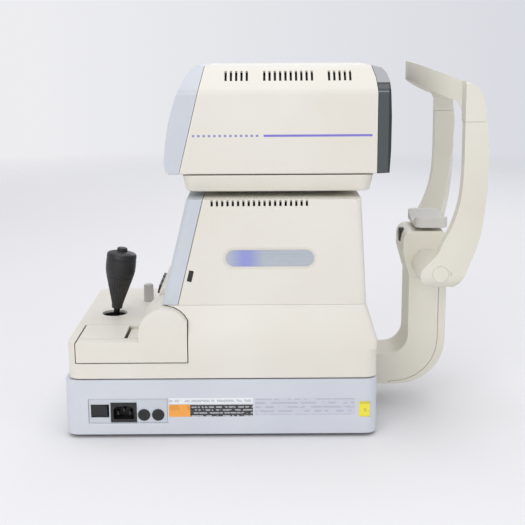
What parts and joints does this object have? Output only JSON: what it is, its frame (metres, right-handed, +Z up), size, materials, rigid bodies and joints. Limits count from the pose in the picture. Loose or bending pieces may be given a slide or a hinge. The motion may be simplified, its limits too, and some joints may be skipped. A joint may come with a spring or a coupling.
{
  "type": "autorefractor",
  "caption": "Table-top eye-testing instrument: base, gliding joystick stage, lifting measuring head with screen, and an arm-mounted forehead and chin rest.",
  "frame": {"origin": "centre of the overall footprint, on the table", "axes": "+X towards the patient, -Y towards the operator's right-hand side with the power panel, +Z up"},
  "size_m": [0.4921, 0.273, 0.4335],
  "materials": {
    "cream_casing": "fine-textured cream moulding",
    "headrest_casing": "slightly yellower cream moulding",
    "blue_grey_casing": "fine-textured blue-grey moulding",
    "pale_blue_trim": "satin blue-grey paint",
    "charcoal_front": "dark satin front",
    "black_plastic": "black moulding",
    "knob_grey": "grey ribbed knob",
    "cup_grey": "soft light grey",
    "rubber": "black rubber",
    "steel": "ground steel",
    "aluminium": "milled or folded aluminium",
    "board": "solder-masked circuit board",
    "paper": "thermal paper, wound tight",
    "dark_glass": "dark polished glass",
    "badge": "printed badge with no lettering"
  },
  "bodies": {
    "base": {"base_housing": "blue_grey_casing", "base_plate": "steel", "foot_operator_near": "rubber", "foot_operator_far": "rubber", "foot_patient_near": "rubber", "foot_patient_far": "rubber", "power_panel": "pale_blue_trim", "mains_inlet": "black_plastic", "power_supply": "aluminium", "friction_plate": "steel", "cross_rail_operator": "steel", "cross_rail_patient": "steel", "headrest_arm": "headrest_casing", "arm_cover": "headrest_casing", "headrest_frame": "headrest_casing", "forehead_band": "headrest_casing", "forehead_pad": "cup_grey", "frame_cap_near": "headrest_casing", "frame_cap_far": "headrest_casing"},
    "carriage": {"carriage_plate": "aluminium", "fore_rail_near": "steel", "fore_rail_far": "steel"},
    "stage": {"stage_casing": "cream_casing", "stage_chassis": "aluminium", "column_cover": "cream_casing", "operator_panel": "pale_blue_trim", "badge_plate": "badge", "key_console": "cream_casing", "printer_frame": "cream_casing", "joystick_socket": "black_plastic", "lift_motor": "black_plastic", "lift_shaft": "steel", "main_board": "board"},
    "lift_screw": {"lift_screw": "steel"},
    "head": {"head_neck": "aluminium", "head_tray": "cream_casing", "head_cover": "cream_casing", "operator_bezel": "pale_blue_trim", "screen": "dark_glass", "front_panel": "charcoal_front", "window_glass": "dark_glass", "optical_bench": "aluminium", "optical_tube": "black_plastic"},
    "joystick_gimbal": {"joystick_gimbal": "steel"},
    "joystick_stem": {"joystick_stem": "steel"},
    "joystick_grip": {"joystick_grip": "black_plastic"},
    "measure_button": {"measure_button": "black_plastic"},
    "lock_knob": {"lock_knob": "knob_grey"},
    "printer_cover": {"printer_cover": "cream_casing"},
    "paper_roll": {"paper_roll": "paper"},
    "platen_roller": {"platen_roller": "rubber"},
    "brightness_dial": {"brightness_dial": "black_plastic"},
    "key_1": {"key_1": "black_plastic"},
    "key_2": {"key_2": "black_plastic"},
    "key_3": {"key_3": "black_plastic"},
    "power_rocker": {"power_rocker": "black_plastic"},
    "fuse_cap_1": {"fuse_cap_1": "black_plastic"},
    "fuse_cap_2": {"fuse_cap_2": "black_plastic"},
    "chin_cup": {"chin_cup": "cup_grey"},
    "chin_wheel": {"chin_wheel": "black_plastic"}
  },
  "joints": [
    {"name": "stage_sideways", "type": "slide", "parent": "base", "child": "carriage", "axis": [0, 1, 0], "range_m": [-0.043, 0.043]},
    {"name": "stage_fore_aft", "type": "slide", "parent": "carriage", "child": "stage", "axis": [1, 0, 0], "range_m": [-0.017, 0.017]},
    {"name": "head_lift", "type": "slide", "parent": "stage", "child": "head", "axis": [0, 0, 1], "range_m": [-0.003, 0.027]},
    {"name": "lift_screw_turn", "type": "hinge", "parent": "stage", "child": "lift_screw", "pos_m": [0.02946, 0, 0.1379], "axis": [0, 0, 1], "range_deg": [-275, 2435]},
    {"name": "joystick_fore_aft", "type": "hinge", "parent": "stage", "child": "joystick_gimbal", "pos_m": [-0.2035, 0, 0.1], "axis": [0, 1, 0], "range_deg": [-10, 10]},
    {"name": "joystick_sideways", "type": "hinge", "parent": "joystick_gimbal", "child": "joystick_stem", "pos_m": [-0.2035, 0, 0.1], "axis": [1, 0, 0], "range_deg": [-10, 10]},
    {"name": "joystick_twist", "type": "hinge", "parent": "joystick_stem", "child": "joystick_grip", "pos_m": [-0.2035, 0, 0.1], "axis": [0.1219, 0, 0.9925], "range_deg": [-95, 815]},
    {"name": "measure_button_press", "type": "slide", "parent": "joystick_grip", "child": "measure_button", "axis": [-0.1219, 0, -0.9925], "range_m": [0, 0.002], "stiffness_N_per_m": 400, "springref_m": -0.0015},
    {"name": "lock_knob_turn", "type": "hinge", "parent": "stage", "child": "lock_knob", "pos_m": [-0.1665, 0.065, 0.1173], "axis": [0, 0, 1], "range_deg": [0, 120]},
    {"name": "printer_cover_hinge", "type": "hinge", "parent": "stage", "child": "printer_cover", "pos_m": [-0.231, -0.1345, 0.0955], "axis": [1, 0, 0], "range_deg": [0, 95]},
    {"name": "paper_spin", "type": "hinge", "parent": "stage", "child": "paper_roll", "pos_m": [-0.1275, -0.125, 0.118], "axis": [0, 1, 0], "continuous": true},
    {"name": "platen_spin", "type": "hinge", "parent": "stage", "child": "platen_roller", "pos_m": [-0.17, -0.125, 0.1045], "axis": [0, 1, 0], "continuous": true},
    {"name": "brightness_turn", "type": "hinge", "parent": "stage", "child": "brightness_dial", "pos_m": [-0.09685, -0.1112, 0.1917], "axis": [0.9703, 0, -0.2419], "range_deg": [-120, 120]},
    {"name": "key_1_press", "type": "slide", "parent": "stage", "child": "key_1", "axis": [0.9703, 0, -0.2419], "range_m": [0, 0.0008], "stiffness_N_per_m": 250, "springref_m": -0.0015},
    {"name": "key_2_press", "type": "slide", "parent": "stage", "child": "key_2", "axis": [0.9703, 0, -0.2419], "range_m": [0, 0.0008], "stiffness_N_per_m": 250, "springref_m": -0.0015},
    {"name": "key_3_press", "type": "slide", "parent": "stage", "child": "key_3", "axis": [0.9703, 0, -0.2419], "range_m": [0, 0.0008], "stiffness_N_per_m": 250, "springref_m": -0.0015},
    {"name": "power_rock", "type": "hinge", "parent": "base", "child": "power_rocker", "pos_m": [-0.20535, -0.1285, 0.033], "axis": [0, 0, 1], "range_deg": [0, 16]},
    {"name": "fuse_cap_1_turn", "type": "hinge", "parent": "base", "child": "fuse_cap_1", "pos_m": [-0.1535, -0.1364, 0.0282], "axis": [0, -1, 0], "range_deg": [0, 90]},
    {"name": "fuse_cap_2_turn", "type": "hinge", "parent": "base", "child": "fuse_cap_2", "pos_m": [-0.1369, -0.1364, 0.0282], "axis": [0, -1, 0], "range_deg": [0, 90]},
    {"name": "chin_lift", "type": "slide", "parent": "base", "child": "chin_cup", "axis": [0, 0, 1], "range_m": [0, 0.035]},
    {"name": "chin_wheel_turn", "type": "hinge", "parent": "base", "child": "chin_wheel", "pos_m": [0.1615, 0, 0.218], "axis": [-1, 0, 0], "range_deg": [-5, 640]}
  ],
  "couplings": [
    {"joint": "lift_screw_turn", "follows": "head_lift", "rad_per_m": 1570.8},
    {"joint": "joystick_twist", "follows": "head_lift", "rad_per_m": 523.6},
    {"joint": "platen_spin", "follows": "paper_spin", "ratio": 5},
    {"joint": "chin_wheel_turn", "follows": "chin_lift", "rad_per_m": 314.16}
  ]
}
